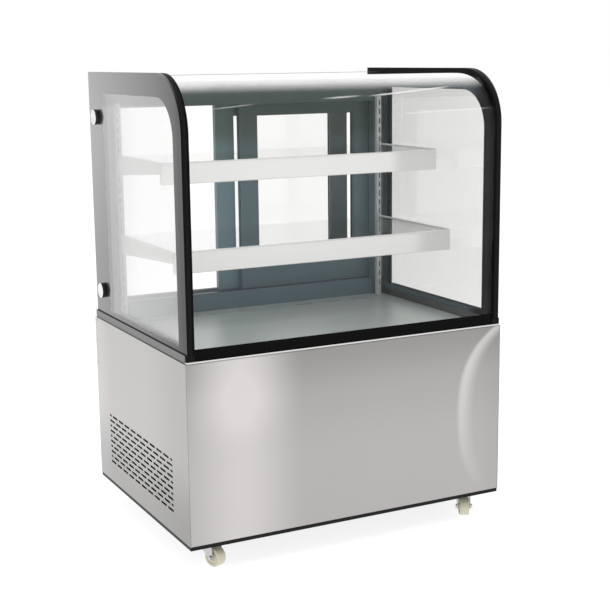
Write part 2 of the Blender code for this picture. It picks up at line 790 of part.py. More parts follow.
# ---------------------------------------------------------------- casters
def make_plate(corner, x, y):
    """The top plate of a caster, with its ball race and its kingpin."""
    half = (0.0300, 0.0250)
    top = TRAY_BOTTOM - GAP
    sheet = 0.0025
    race_radius, race_height, race_middle = 0.0180, 0.0060, 0.0595
    pin_radius, pin_length, pin_middle = 0.0040, 0.0110, 0.0560
    head_radius, head_height, head_middle = 0.0070, 0.0022, 0.0516
    low = (x - half[0], y - half[1], top - sheet)
    plate = box(corner + "_caster_plate", low, (x + half[0], y + half[1], top), "zinc")
    up = (0, 0, 1)
    race = cylinder(corner + " race", (x, y, race_middle), up, race_radius, race_height, 20)
    pin = cylinder(corner + " kingpin", (x, y, pin_middle), up, pin_radius, pin_length, 16)
    head = cylinder(corner + " kingpin head", (x, y, head_middle), up, head_radius, head_height, 16)
    join(plate, race, pin, head)


def make_fork(corner, pivot, axle):
    """A round deck under the race, with two legs, an axle and its nuts, in the frame of the pivot."""
    deck_top, deck_bottom = 0.0562 - WHEEL_RADIUS, 0.0531 - WHEEL_RADIUS
    deck_radius = 0.0195
    leg_faces = (0.0160, 0.0180)
    leg_back, leg_front = -0.0165, 0.0205  # ends of a leg's upper edge, along the trail
    waist_back, waist_front = -0.0120, 0.0240
    waist = deck_bottom - 0.0080
    foot_radius = 0.0080
    nut_radius, nut_height, nut_middle = 0.0060, 0.0045, 0.0197
    axle_length = 0.0400
    hole_radius, hole_length = 0.0042, 0.0100
    tuck = 0.0005  # the legs end this far under the top of the deck

    middle = Vector((0.0, 0.0, (deck_top + deck_bottom) / 2))
    fork = cylinder(corner + "_fork", middle, (0, 0, 1), deck_radius, deck_top - deck_bottom, 20, "zinc")
    pieces = [cylinder(corner + " axle", axle, (0, 1, 0), AXLE_RADIUS, axle_length, 16)]
    leg_outline = [
        (leg_back, deck_top - tuck),
        (waist_back, waist),
        *arc((axle.x, 0.0), foot_radius, 205, 365, 6),
        (waist_front, waist),
        (leg_front, deck_top - tuck),
    ]
    for number, sign in enumerate((-1, 1)):
        faces = sorted((sign * leg_faces[0], sign * leg_faces[1]))
        pieces.append(prism(corner + " leg " + str(number), leg_outline, "Y", *faces))
        place = axle + Vector((0.0, sign * nut_middle, 0.0))
        pieces.append(cylinder(corner + " nut " + str(number), place, (0, 1, 0), nut_radius, nut_height, 6))
    hole = cylinder(corner + " kingpin hole", middle, (0, 0, 1), hole_radius, hole_length, 16)
    for child in (fork, hole, *pieces):
        child.parent = pivot
    join(fork, *pieces)
    cut(fork, hole)


def make_wheel(corner, pivot, axle):
    chamfer = 0.0022
    hub_radius = 0.0080
    dish_start, dish_end, dish_depth = 0.0175, 0.0190, 0.0045
    rolling = WHEEL_RADIUS / math.cos(math.pi / WHEEL_STEPS)
    half_profile = [
        (AXLE_BORE, WHEEL_HUB_HALF),
        (hub_radius, WHEEL_HUB_HALF),
        (hub_radius, WHEEL_HALF - dish_depth),
        (dish_start, WHEEL_HALF - dish_depth),
        (dish_end, WHEEL_HALF),
        (rolling - chamfer, WHEEL_HALF),
        (rolling, WHEEL_HALF - chamfer),
    ]
    profile = half_profile + [(radius, -height) for radius, height in reversed(half_profile)]
    wheel = turned(corner + "_wheel", profile, WHEEL_STEPS, "cream_nylon", closed=True)
    wheel.location = axle
    # Half a step round the axle, so that the wheel stands on a flat facet and not on an edge.
    facet = Matrix.Rotation(math.pi / WHEEL_STEPS, 3, "Z")
    wheel.rotation_euler = (Matrix.Rotation(-math.pi / 2, 3, "X") @ facet).to_euler()
    wheel.parent = pivot


def make_caster(corner, trail_degrees):
    """A swivel caster in the frame of an empty on its pivot: the wheel trails along the empty's +X."""
    x = CASTER_PIVOT[0] * (1 if "right" in corner else -1)
    y = CASTER_PIVOT[1] * (1 if "rear" in corner else -1)
    make_plate(corner, x, y)
    pivot = bpy.data.objects.new(corner + "_swivel", None)
    CUTTERS.objects.link(pivot)
    pivot.location = (x, y, WHEEL_RADIUS)
    pivot.rotation_euler = (0.0, 0.0, math.radians(trail_degrees))
    axle = Vector((CASTER_TRAIL, 0.0, 0.0))
    make_fork(corner, pivot, axle)
    make_wheel(corner, pivot, axle)


# ---------------------------------------------------------------- machine compartment
def make_compressor():
    profile = [(0.0, 0.190), (0.030, 0.188), (0.055, 0.178), (0.070, 0.160), (0.076, 0.135)]
    profile += [(0.076, 0.098), (0.079, 0.096), (0.079, 0.090), (0.076, 0.088), (0.076, 0.050)]
    profile += [(0.068, 0.028), (0.050, 0.014), (0.0, 0.010)]
    terminals_low = Vector((-0.035, -0.100, 0.060))
    terminals_high = Vector((0.035, -0.060, 0.120))
    compressor = turned("compressor", profile, 24, "compressor_black")
    compressor.location = COMPRESSOR_PLACE
    foot_low = COMPRESSOR_PLACE - Vector((COMPRESSOR_FOOT.x, COMPRESSOR_FOOT.y, 0.0))
    foot = box("compressor foot", foot_low, COMPRESSOR_PLACE + COMPRESSOR_FOOT)
    terminals = box(
        "compressor terminals", COMPRESSOR_PLACE + terminals_low, COMPRESSOR_PLACE + terminals_high
    )
    join(compressor, foot, terminals)


def make_condenser():
    low, high = (-CONDENSER_HALF, TRAY_FLOOR + GAP), (CONDENSER_HALF, CONDENSER_TOP)
    overlap = 0.0005
    leg_y, leg_half = 0.1240, 0.0050
    motor_x, motor_radius, motor_length = -0.2440, 0.0300, 0.0340
    shaft_x, shaft_length = -0.2690, 0.0220
    core = finned_core("condenser", low, high, "X", CONDENSER_FACES, CONDENSER_GAP)
    opening = circle((FAN_MIDDLE.y, FAN_MIDDLE.z), FAN_RADIUS + SHROUD_CLEARANCE, 28)
    start = CONDENSER_FACES[1] - overlap
    shroud = prism("condenser shroud", rectangle(low, high), "X", start, SHROUD_REAR, None, [opening])
    z = FAN_MIDDLE.z
    half_length, half_height = FAN_BAR_HALF
    bar = box(
        "fan bar",
        (FAN_BAR[0], -half_length, z - half_height),
        (FAN_BAR[1], half_length, z + half_height),
    )
    legs = [
        box(
            "fan bar leg " + str(number),
            (SHROUD_REAR - 2 * overlap, sign * leg_y - leg_half, z - half_height + overlap),
            (FAN_BAR[1] - overlap, sign * leg_y + leg_half, z + half_height - overlap),
        )
        for number, sign in enumerate((-1, 1))
    ]
    motor = cylinder("fan motor", (motor_x, 0.0, z), (1, 0, 0), motor_radius, motor_length, 20)
    shaft = cylinder("fan shaft", (shaft_x, 0.0, z), (1, 0, 0), SHAFT_RADIUS, shaft_length, 16)
    join(core, shroud, bar, *legs, motor, shaft)


def make_fan():
    fan = cylinder("condenser_fan", FAN_MIDDLE, (1, 0, 0), HUB_RADIUS, HUB_LENGTH, 20, "black_plastic")
    size = (BLADE_CHORD, FAN_RADIUS - BLADE_ROOT, BLADE_SHEET)
    lift = Matrix.Translation((0.0, (FAN_RADIUS + BLADE_ROOT) / 2, 0.0))
    pitched = Matrix.Rotation(math.pi / 2 - BLADE_PITCH, 4, "Y")
    for number in range(FAN_BLADES):
        made = bmesh.new()
        bmesh.ops.create_cube(made, size=1.0, matrix=Matrix.Diagonal((*size, 1.0)))
        turn = Matrix.Rotation(2 * math.pi * number / FAN_BLADES, 4, "X")
        bmesh.ops.transform(made, matrix=turn @ lift @ pitched, verts=made.verts)
        blade = add_object("fan blade " + str(number), mesh_from("fan blade", made), None)
        blade.location = FAN_MIDDLE
        join(fan, blade)
    cut(fan, cylinder("fan bore", FAN_MIDDLE, (1, 0, 0), SHAFT_BORE, 2 * HUB_LENGTH, 24))


# ---------------------------------------------------------------- controls on the rear panel
def make_thermostat(rear):
    half_x, half_z = THERMOSTAT_HALF
    body_x, body_z = (half - THERMOSTAT_FIT for half in THERMOSTAT_HOLE)
    x, z = THERMOSTAT_MIDDLE, SWITCH_HEIGHT
    bezel = box(
        "thermostat",
        (x - half_x, rear + GAP, z - half_z),
        (x + half_x, rear + THERMOSTAT_BEZEL, z + half_z),
        "black_plastic",
    )
    body = box(
        "thermostat body",
        (x - body_x, rear - THERMOSTAT_DEPTH, z - body_z),
        (x + body_x, rear + THERMOSTAT_BEZEL / 2, z + body_z),
    )
    join(bezel, body)


def make_switch(use, x, rear):
    rocker = [(-0.0060, -0.0060), (0.0062, -0.0088), (0.0042, 0.0), (0.0062, 0.0088), (-0.0060, 0.0060)]
    switch = prism(use + "_switch", rocker, "X", -SWITCH_HALF, SWITCH_HALF, "switch_green")
    place = Matrix.Translation((x, rear, SWITCH_HEIGHT)) @ Matrix.Rotation(-ROCKER_TILT, 4, "X")
    outward = Matrix.Rotation(math.pi / 2, 4, "Z") @ Matrix.Rotation(math.pi / 2, 4, "X")
    switch.matrix_world = place @ outward


def make_gland(rear):
    profile = [
        (0.0035, 0.0140),
        (0.0060, 0.0140),
        (0.0085, 0.0100),
        (0.0115, 0.0080),
        (0.0115, GAP),
        (0.0085, GAP),
        (0.0085, -0.0100),
        (0.0035, -0.0100),
    ]
    gland = turned("cord_gland", profile, 16, "black_plastic", closed=True)
    gland.location = (GLAND_PLACE[0], rear, GLAND_PLACE[1])
    gland.rotation_euler = (-math.pi / 2, 0.0, 0.0)


def make_controls():
    rear = DEPTH / 2 - REAR_PANEL_INSET
    make_thermostat(rear)
    for use, x in SWITCHES.items():
        make_switch(use, x, rear)
    make_gland(rear)


def make_case():
    make_base_tray()
    make_front_panel()
    make_rear_panel()
    make_rails()
    make_tub_and_deck()
    make_evaporator()
    make_bent_glass()
    make_header_and_sill()
    for side in SIDES:
        make_side_panel(side)
        make_end_glass(side)
        make_post(side)
        make_standard(side)
        for level in KNOB_HEIGHTS:
            make_knob(side, level)
    for level in SHELVES:
        make_shelf(level)
    make_canopy_light()
    make_door("left", LEFT_DOOR_MIDDLE, OUTER_TRACK)
    make_door("right", RIGHT_DOOR_MIDDLE, INNER_TRACK)
    for corner, trail_degrees in CASTER_TRAILS.items():
        make_caster(corner, trail_degrees)
    make_compressor()
    make_condenser()
    make_fan()
    make_controls()


make_case()
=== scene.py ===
import json
import math

import bmesh
import bpy
from mathutils import Matrix, Vector

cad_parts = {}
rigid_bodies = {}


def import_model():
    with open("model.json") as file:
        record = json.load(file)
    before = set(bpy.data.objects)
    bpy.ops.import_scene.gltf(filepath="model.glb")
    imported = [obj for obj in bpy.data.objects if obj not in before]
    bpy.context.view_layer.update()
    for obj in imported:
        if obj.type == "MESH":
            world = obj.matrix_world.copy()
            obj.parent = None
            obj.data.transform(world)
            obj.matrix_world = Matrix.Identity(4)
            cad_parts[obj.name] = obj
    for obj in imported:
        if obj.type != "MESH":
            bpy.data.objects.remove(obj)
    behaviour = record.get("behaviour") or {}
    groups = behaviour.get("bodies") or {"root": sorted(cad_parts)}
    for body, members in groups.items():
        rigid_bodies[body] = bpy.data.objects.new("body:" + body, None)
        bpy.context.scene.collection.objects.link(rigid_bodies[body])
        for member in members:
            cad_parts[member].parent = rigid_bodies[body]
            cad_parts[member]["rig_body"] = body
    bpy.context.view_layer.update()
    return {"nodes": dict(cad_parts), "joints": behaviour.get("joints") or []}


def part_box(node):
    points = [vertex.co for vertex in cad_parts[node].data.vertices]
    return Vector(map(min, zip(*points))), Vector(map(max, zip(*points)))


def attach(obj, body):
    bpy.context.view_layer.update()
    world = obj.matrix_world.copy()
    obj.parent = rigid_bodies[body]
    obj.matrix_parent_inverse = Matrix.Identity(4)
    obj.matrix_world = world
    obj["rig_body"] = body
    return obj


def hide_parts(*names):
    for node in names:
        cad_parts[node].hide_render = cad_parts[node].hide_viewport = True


# Looks of a refrigerated bakery display case. Metres, +Z up, the glass front faces -Y.
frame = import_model()
nodes = frame["nodes"]
joints = {joint["name"]: joint for joint in frame["joints"]}
sides = {"left": -1, "right": 1}
corners = ("front_left", "front_right", "rear_left", "rear_right")
print("frame loaded:", len(nodes), "nodes")


# wraps a node's output, so that shader maths reads as plain arithmetic
class Wire:
    def __init__(self, tree, socket=None):
        self.tree = tree
        self.socket = socket

    # any node: its settings first, then the values or links of its inputs
    def node(self, kind, settings=None, inputs=None, output=0):
        made = self.tree.nodes.new("ShaderNode" + kind)
        for name, value in (settings or {}).items():
            if name == "stops":
                while len(made.color_ramp.elements) < len(value):
                    made.color_ramp.elements.new(1.0)
                for element, (place, colour) in zip(made.color_ramp.elements, value):
                    element.position = place
                    element.color = (*colour, 1.0)
            else:
                setattr(made, name, value)
        for name, value in (inputs or {}).items():
            if isinstance(value, Wire):
                self.tree.links.new(value.socket, made.inputs[name])
            else:
                made.inputs[name].default_value = value
        return Wire(self.tree, made.outputs[output])

    def math(self, operation, first, second=0.0):
        return self.node("Math", {"operation": operation}, {0: first, 1: second})

    def __add__(self, other):
        return self.math("ADD", self, other)

    def __sub__(self, other):
        return self.math("SUBTRACT", self, other)

    def __rsub__(self, other):
        return self.math("SUBTRACT", other, self)

    def __mul__(self, other):
        return self.math("MULTIPLY", self, other)

    def __truediv__(self, other):
        return self.math("DIVIDE", self, other)

    def __pow__(self, other):
        return self.math("POWER", self, other)

    def __abs__(self):
        return self.math("ABSOLUTE", self)

    __radd__ = __add__
    __rmul__ = __mul__


def step(value, start, end):  # 0 below start and 1 above end, with a soft passage between
    return value.node("MapRange", {"interpolation_type": "SMOOTHSTEP"}, {
        "Value": value, "From Min": start, "From Max": end})


def blendColour(factor, first, second):
    return factor.node("Mix", {"data_type": "RGBA"}, {
        0: factor, 6: first, 7: second}, 2)


def colour(red, green, blue):
    return (red, green, blue, 1.0)


def newMaterial(name):
    made = bpy.data.materials.new(name)
    made.use_nodes = True
    made.node_tree.nodes.clear()
    return made, Wire(made.node_tree)


def closeMaterial(kit, shader):
    out = kit.tree.nodes.new("ShaderNodeOutputMaterial")
    kit.tree.links.new(shader.socket, out.inputs["Surface"])


def placeOf(kit):  # the object's own coordinates, whole and split
    place = kit.node("TexCoord", output="Object")
    parts = [kit.node("SeparateXYZ", {}, {0: place}, axis) for axis in "XYZ"]
    return place, *parts


def noiseAt(place, scale, detail=2.0, stretch=(1.0, 1.0, 1.0)):
    moved = place.node("Mapping", {"vector_type": "POINT"}, {"Vector": place, "Scale": stretch})
    return place.node("TexNoise", {}, {"Vector": moved, "Scale": scale, "Detail": detail}, "Fac")


# ------------------------------------------------------------ finishes
def brushedSteel(name, fineAxis, tone, level=None, metallic=1.0):
    look = {
        "grainScale": 5.0,
        "fineness": 190.0,  # how much finer the grain is across than along
        "grainDepth": 0.00004,
        "grainStrength": 0.35,
        "grainTone": 0.06,
        "cloudScale": 2.2,
        "cloudStretch": (1.6, 1.6, 0.5),
        "cloudTone": 0.05,
        "roughness": 0.27,
        "roughnessSpread": 0.12,
        "darkest": 0.945,  # share of the tone in the deepest grain
    }
    material, kit = newMaterial(name)
    place, x, y, z = placeOf(kit)
    stretch = [1.0, 1.0, 1.0]
    stretch["XYZ".index(fineAxis)] = look["fineness"]
    grain = noiseAt(place, look["grainScale"], 3.0, stretch)
    cloud = noiseAt(place, look["cloudScale"], 1.0, look["cloudStretch"])
    light = look["darkest"] + grain * look["grainTone"] + cloud * look["cloudTone"]
    # painted light: the level paints highlights, reflections and shade into the base colour by place
    if level:
        light = light * level(x, y, z)
    bright = blendColour(light, colour(0.0, 0.0, 0.0), colour(*tone))
    bump = kit.node("Bump", {}, {
        "Strength": look["grainStrength"], "Distance": look["grainDepth"], "Height": grain})
    shader = kit.node("BsdfPrincipled", {}, {
        "Base Color": bright,
        "Metallic": metallic,
        "Roughness": look["roughness"] + grain * look["roughnessSpread"],
        "Normal": bump,
    })
    closeMaterial(kit, shader)
    return material


def frontPaintedReflection(x, y, z):  # painted reflection: darker to the top, with a broad painted highlight band and a bowed highlight streak
    look = {
        "low": 0.670,
        "middleDrop": 0.055,
        "topDrop": 0.135,
        "bandMiddle": -0.31,
        "bandWidth": 0.18,
        "band": 0.24,
        "bandMore": 0.25,  # added to the band higher up
        "bow": (0.3280, -0.0035, 0.0319, 0.0031, 0.0341),  # the streak's x, in powers of height
        "bowMiddle": 0.29,
        "bowScale": 0.20,
        "rise": 0.018,
        "fall": 0.045,
        "streak": 0.93,
        "streakStart": 0.08,
        "edgeDrop": 0.04,
    }
    level = look["low"] - look["middleDrop"] * step(z, 0.25, 0.42) - look["topDrop"] * step(z, 0.39, 0.53)
    band = 1 - step(abs(x - look["bandMiddle"]), 0.0, look["bandWidth"])
    level = level + band * (look["band"] + look["bandMore"] * step(z, 0.27, 0.46))
    height = (z - look["bowMiddle"]) / look["bowScale"]
    bow = look["bow"][-1]
    for factor in reversed(look["bow"][:-1]):
        bow = height * bow + factor
    beside = x - bow
    streak = step(beside, -look["rise"], 0.0) * (1 - step(beside, 0.0, look["fall"]))
    strength = (z - look["streakStart"]) * look["streak"]
    return level + streak * strength - look["edgeDrop"] * step(x, 0.36, 0.44)


def sidePaintedReflection(x, y, z):  # painted reflection: brightest at the rear, darker to the front and to the foot
    look = {"middle": 0.785, "rear": 0.11, "front": 0.115, "foot": 0.27}
    along = look["middle"] + look["rear"] * step(y, 0.20, 0.33) - look["front"] * step(-1 * y, 0.02, 0.33)
    return along * (1 - look["foot"] * (1 - step(z, 0.10, 0.30)))


def deckPaintedReflection(x, y, z):  # painted reflection: the deck is darker to the rear, standing for the frame it mirrors there
    look = {"rear": 0.86, "front": 0.95, "start": -0.08, "end": 0.26}
    return look["rear"] + look["front"] * step(-1 * y, look["start"], look["end"])


# painted light: a lighter teal for frame faces seen through the glass, lighter below than at the top; more gives a
# lighter copy
def framePaintedLight(name, more=1.0):
    look = {
        "upper": tuple(value * more for value in (0.072, 0.110, 0.099)),
        "lower": tuple(value * more for value in (0.125, 0.188, 0.215)),
        "change": (0.93, 1.04),
        "roughness": 0.32,
        "roughnessSpread": 0.10,
        "specular": 0.3,
        "grainScale": 300.0,
        "grainDepth": 0.000002,
        "cloudScale": 5.0,
        "cloudTone": 0.16,
    }
    material, kit = newMaterial(name)
    place, x, y, z = placeOf(kit)
    cloud = noiseAt(place, look["cloudScale"], 3.0)
    height = step(z, *look["change"]) + (cloud - 0.5) * look["cloudTone"]
    bump = kit.node("Bump", {}, {
        "Strength": 0.2, "Distance": look["grainDepth"], "Height": noiseAt(place, look["grainScale"])})
    shader = kit.node("BsdfPrincipled", {}, {
        "Base Color": blendColour(height, colour(*look["lower"]), colour(*look["upper"])),
        "Roughness": look["roughness"] + (cloud - 0.5) * look["roughnessSpread"],
        "Specular IOR Level": look["specular"],
        "Normal": bump,
    })
    closeMaterial(kit, shader)
    return material


def paint(name, base, roughness, grainScale=420.0, depth=0.00006, tone=0.12, specular=0.5):
    material, kit = newMaterial(name)  # powder coat and enamel: a fine orange peel and a little dust
    place, x, y, z = placeOf(kit)
    peel = noiseAt(place, grainScale, 2.0)
    cloud = noiseAt(place, 5.0, 3.0)
    worn = colour(*[min(1.0, value * (1 + tone) + tone * 0.02) for value in base])
    bump = kit.node("Bump", {}, {"Strength": 0.3, "Distance": depth, "Height": peel})
    shader = kit.node("BsdfPrincipled", {}, {
        "Base Color": blendColour(cloud, colour(*base), worn),
        "Roughness": roughness + (cloud - 0.5) * 0.12,
        "Specular IOR Level": specular,
        "Normal": bump,
    })
    closeMaterial(kit, shader)
    return material


def metal(name, base, roughness, scale=60.0, spread=0.1, stretch=(1.0, 1.0, 1.0)):
    material, kit = newMaterial(name)
    place, x, y, z = placeOf(kit)
    mottle = noiseAt(place, scale, 3.0, stretch)
    darker = colour(*[value * 0.86 for value in base])
    bump = kit.node("Bump", {}, {"Strength": 0.2, "Distance": 0.00005, "Height": mottle})
    shader = kit.node("BsdfPrincipled", {}, {
        "Base Color": blendColour(mottle, darker, colour(*base)),
        "Metallic": 1.0,
        "Roughness": roughness + (mottle - 0.5) * spread,
        "Normal": bump,
    })
    closeMaterial(kit, shader)
    return material


def clearGlass(name, tint, least=0.03, printed=None, sheen=None, veil=0.0, gleam=None, inkRear=None, dim=1.0):
    look = {
        "smear": 0.03,
        "fresnel": 5.0,
        "ink": (0.0032, 0.0034, 0.0034),
        "inkFront": (0.20, 0.27),  # where the ink turns black, towards the front
        "inkTop": (1.150, 1.165),  # and towards the top
        "inkRoughness": 0.20,
        "inkSpread": 0.06,
        "inkGloss": 0.04,
        "shineRoughness": 0.20,
        "veilTone": 0.84,
        "curve": 1.6,  # how fast the sheen grows towards an edge-on view
        "facing": 0.66,  # the view that the sheen is set for
    }
    material, kit = newMaterial(name)
    place, x, y, z = placeOf(kit)
    facing = kit.node("LayerWeight", {}, {"Blend": 0.5}, "Facing")
    outside = 1.0 - kit.node("NewGeometry", output="Backfacing")
    turned = (facing / look["facing"]) ** look["curve"]
    # a dim mirror over a wider share keeps a pane calm
    mirror = (least + (1 - least) * facing ** look["fresnel"]) / dim
    white = colour(1.0, 1.0, 1.0)
    through = kit.node("BsdfTransparent", {}, {"Color": colour(*tint)})
    dimShine = kit.node("BsdfGlossy", {}, {"Color": colour(dim, dim, dim), "Roughness": look["smear"]})
    shine = kit.node("BsdfGlossy", {}, {"Color": white, "Roughness": look["smear"]})
    pane = kit.node("MixShader", {}, {0: mirror, 1: through, 2: dimShine})
    # painted reflection: a haze mirror laid over the clear pane by place, from the sheen function
    if veil:
        tone = look["veilTone"]
        haze = kit.node("BsdfGlossy", {}, {"Color": colour(tone, tone, tone), "Roughness": look["smear"]})
        pane = kit.node("MixShader", {}, {0: sheen(x, y, z) * turned * outside * veil, 1: pane, 2: haze})
    # painted highlight: the gleam lays a bright mirror over the pane by place
    if gleam:
        pane = kit.node("MixShader", {}, {0: gleam(x, z, turned), 1: pane, 2: shine})
    if printed:
        base = colour(*look["ink"])
        # the ink is teal-grey towards the rear and the foot, black towards the front and the top
        if inkRear:
            black = step(-1 * y, *look["inkFront"]) + step(z, *look["inkTop"])
            base = blendColour(black, colour(*inkRear), base)
        ink = kit.node("BsdfPrincipled", {}, {
            "Base Color": base,
            "Roughness": look["inkRoughness"] + noiseAt(place, 9.0, 2.0) * look["inkSpread"],
            "Specular IOR Level": look["inkGloss"],
        })
        # painted reflection: the ink mirrors more or less by place, from the sheen function
        if sheen:
            softShine = kit.node("BsdfGlossy", {}, {"Color": white, "Roughness": look["shineRoughness"]})
            ink = kit.node("MixShader", {}, {0: sheen(x, y, z) * turned, 1: ink, 2: softShine})
        pane = kit.node("MixShader", {}, {0: printed(x, y, z), 1: pane, 2: ink})
    closeMaterial(kit, pane)
    return material


def outerPaintedSheen(x, y, z):  # painted reflection: the print of the end glass is painted to mirror the studio more to the rear and the top
    look = {"front": 0.113, "rear": 0.259, "start": -0.31, "length": 0.60, "curve": 0.6, "foot": 0.65}
    along = (y - look["start"]) / look["length"]
    along = along.math("MAXIMUM", along, 0.0) ** look["curve"]
    up = look["foot"] + (1 - look["foot"]) * step(z, 0.55, 1.15)
    return (look["front"] + look["rear"] * along) * up


def bendPaintedGleam(x, z, turned):  # painted highlight: the bright top of the bend, with thin painted glints below it
    look = {"most": 0.92, "start": 1.148, "end": 1.182, "soft": 0.06}
    glints = (  # from (x, z) to (x, z), half the width and the strength
        (-0.38, 1.115, -0.23, 1.127, 0.0022, 0.20),
        (-0.07, 1.1335, 0.06, 1.139, 0.0028, 0.40),
        (0.06, 1.136, 0.33, 1.156, 0.0028, 0.50),
        (0.13, 1.092, 0.43, 1.100, 0.0020, 0.30),
    )
    total = look["most"] * step(z, look["start"], look["end"]) * turned
    for left, foot, right, top, half, strength in glints:
        height = foot + (x - left) * ((top - foot) / (right - left))
        line = 1 - step(abs(z - height), 0.0, half)
        ends = step(x, left, left + look["soft"]) * (1 - step(x, right - look["soft"], right))
        total = total + line * ends * strength
    return total


def endBorder(x, y, z):  # black print round the end glass: wide behind, narrow above, round in front
    look = {"front": -0.282, "rear": 0.213, "foot": 0.561, "top": 1.145, "radius": 0.100, "edge": 0.0012}
    middleY = (look["front"] + look["rear"]) / 2
    middleZ = (look["foot"] + look["top"]) / 2
    halfY = (look["rear"] - look["front"]) / 2
    halfZ = (look["top"] - look["foot"]) / 2
    straight = (abs(y - middleY) - halfY).math("MAXIMUM", abs(y - middleY) - halfY, abs(z - middleZ) - halfZ)
    # the round corner, in front and above only
    dy = (look["front"] + look["radius"] - y).math("MAXIMUM", look["front"] + look["radius"] - y, 0.0)
    dz = (z - look["top"] + look["radius"]).math("MAXIMUM", z - look["top"] + look["radius"], 0.0)
    both = dy.math("MINIMUM", dy, dz)
    arcDistance = (dy * dy + dz * dz) ** 0.5 - look["radius"]
    distance = straight.math("MAXIMUM", straight, arcDistance * step(both, 0.0, 0.0001) - 1.0 * (1 - step(both, 0.0, 0.0001)))
    return step(distance, -look["edge"], 0.0)


def footStrip(x, y, z):
    return 1 - step(z, 0.5588, 0.5598)


def lamp(name, faceColour, strength, unlitFrom, softness):  # opal cover over a strip of lamps
    look = {
        "unlit": (0.74, 0.74, 0.735),
        "cloudScale": 14.0,
        "cloud": 0.16,
        "roughness": 0.42,
        "grainScale": 300.0,
        "roughnessSpread": 0.06,
    }
    material, kit = newMaterial(name)
    place, x, y, z = placeOf(kit)
    lit = 1 - step(x, unlitFrom, unlitFrom + softness)
    glow = lit * (1 - look["cloud"] / 2 + noiseAt(place, look["cloudScale"], 1.0) * look["cloud"])
    light = [value * strength for value in faceColour]
    shader = kit.node("BsdfPrincipled", {}, {
        "Base Color": blendColour(glow, colour(*look["unlit"]), colour(*faceColour)),
        "Roughness": look["roughness"] + noiseAt(place, look["grainScale"], 1.0) * look["roughnessSpread"],
        "Emission Color": blendColour(glow, colour(0.0, 0.0, 0.0), colour(*light)),
        "Emission Strength": 1.0,
    })
    closeMaterial(kit, shader)
    return material


def rubber(name, base):
    return paint(name, base, 0.55, 900.0, 0.00005, 0.2, 0.06)


finish = {
    "frontSteel": brushedSteel("frontSteel", "Z", (0.62, 0.600, 0.592), frontPaintedReflection),
    "sideSteel": brushedSteel("sideSteel", "Z", (0.60, 0.59, 0.58), sidePaintedReflection),
    "rearSteel": brushedSteel("rearSteel", "Z", (0.52, 0.51, 0.50)),
    "deckSteel": brushedSteel("deckSteel", "Y", (0.52, 0.565, 0.55), deckPaintedReflection, 0.22),
    "blackEnamel": paint("blackEnamel", (0.008, 0.008, 0.008), 0.42, 420.0, 0.00004, 0.1, 0.14),
    "railMetal": metal("railMetal", (0.170, 0.172, 0.168), 0.34, 8.0, 0.06, (1.0, 1.0, 60.0)),
    "brightRail": metal("brightRail", (0.70, 0.69, 0.68), 0.24, 8.0, 0.06, (1.0, 1.0, 60.0)),
    "standardPaint": paint("standardPaint", (0.50, 0.51, 0.51), 0.40),
    "endGlass": clearGlass("endGlass", (0.962, 0.962, 0.960), 0.02, endBorder, outerPaintedSheen, 1.15),
    "endGlassInner": clearGlass(
        "endGlassInner", (0.972, 0.972, 0.970), 0.02, endBorder, inkRear=(0.075, 0.110, 0.125)),
    "bentGlass": clearGlass(
        "bentGlass", (0.990, 0.990, 0.986), 0.012, footStrip, gleam=bendPaintedGleam, dim=0.5),
    "shelfGlass": clearGlass("shelfGlass", (0.96, 0.97, 0.966)),
    "doorGlass": clearGlass("doorGlass", (0.978, 0.978, 0.975), 0.02),
    "blackSeal": rubber("blackSeal", (0.006, 0.006, 0.006)),
    "blackFrame": paint("blackFrame", (0.016, 0.018, 0.019), 0.36, 420.0, 0.00003, 0.12, 0.3),
    "innerFrame": framePaintedLight("innerFrame"),
    "paintedLitFrame": framePaintedLight("paintedLitFrame", 1.55),  # painted light: a lighter copy for the frame that lies in shade behind the other door's glass
    "whiteLiner": paint("whiteLiner", (0.78, 0.78, 0.76), 0.45, 160.0, 0.0001),
    "whiteBracket": paint("whiteBracket", (0.74, 0.74, 0.73), 0.38),
    "barHousing": paint("barHousing", (0.72, 0.72, 0.71), 0.34),
    "upperLamp": lamp("upperLamp", (0.86, 0.86, 0.85), 0.08, 0.245, 0.055),
    "lowerLamp": lamp("lowerLamp", (0.84, 0.84, 0.835), 0.08, 0.275, 0.060),
    "canopyLamp": lamp("canopyLamp", (0.88, 0.88, 0.86), 0.30, 0.380, 0.010),
    "chrome": metal("chrome", (0.84, 0.84, 0.84), 0.10, 30.0, 0.03),
    # painted reflection: a dark copy of the chrome for the knob's side, which mirrors dark things
    "paintedDarkChrome": metal("paintedDarkChrome", (0.06, 0.06, 0.06), 0.12, 30.0, 0.03),
    "zinc": metal("zinc", (0.60, 0.60, 0.60), 0.36, 90.0, 0.16),
    "creamNylon": paint("creamNylon", (0.62, 0.60, 0.46), 0.45, 260.0, 0.0001, 0.08),
    "compressorEnamel": paint("compressorEnamel", (0.012, 0.012, 0.014), 0.22),
    "finMetal": metal("finMetal", (0.66, 0.67, 0.68), 0.42, 40.0, 0.12, (1.0, 1.0, 8.0)),
    "copper": metal("copper", (0.72, 0.36, 0.20), 0.30, 50.0, 0.14),
    "blackPlastic": paint("blackPlastic", (0.016, 0.016, 0.017), 0.42, 700.0, 0.0001),
    "greenRocker": paint("greenRocker", (0.02, 0.30, 0.07), 0.22, 500.0, 0.00003),
    "displayGlass": paint("displayGlass", (0.030, 0.004, 0.004), 0.08, 60.0, 0.00001),
}
print("finishes made:", len(finish))


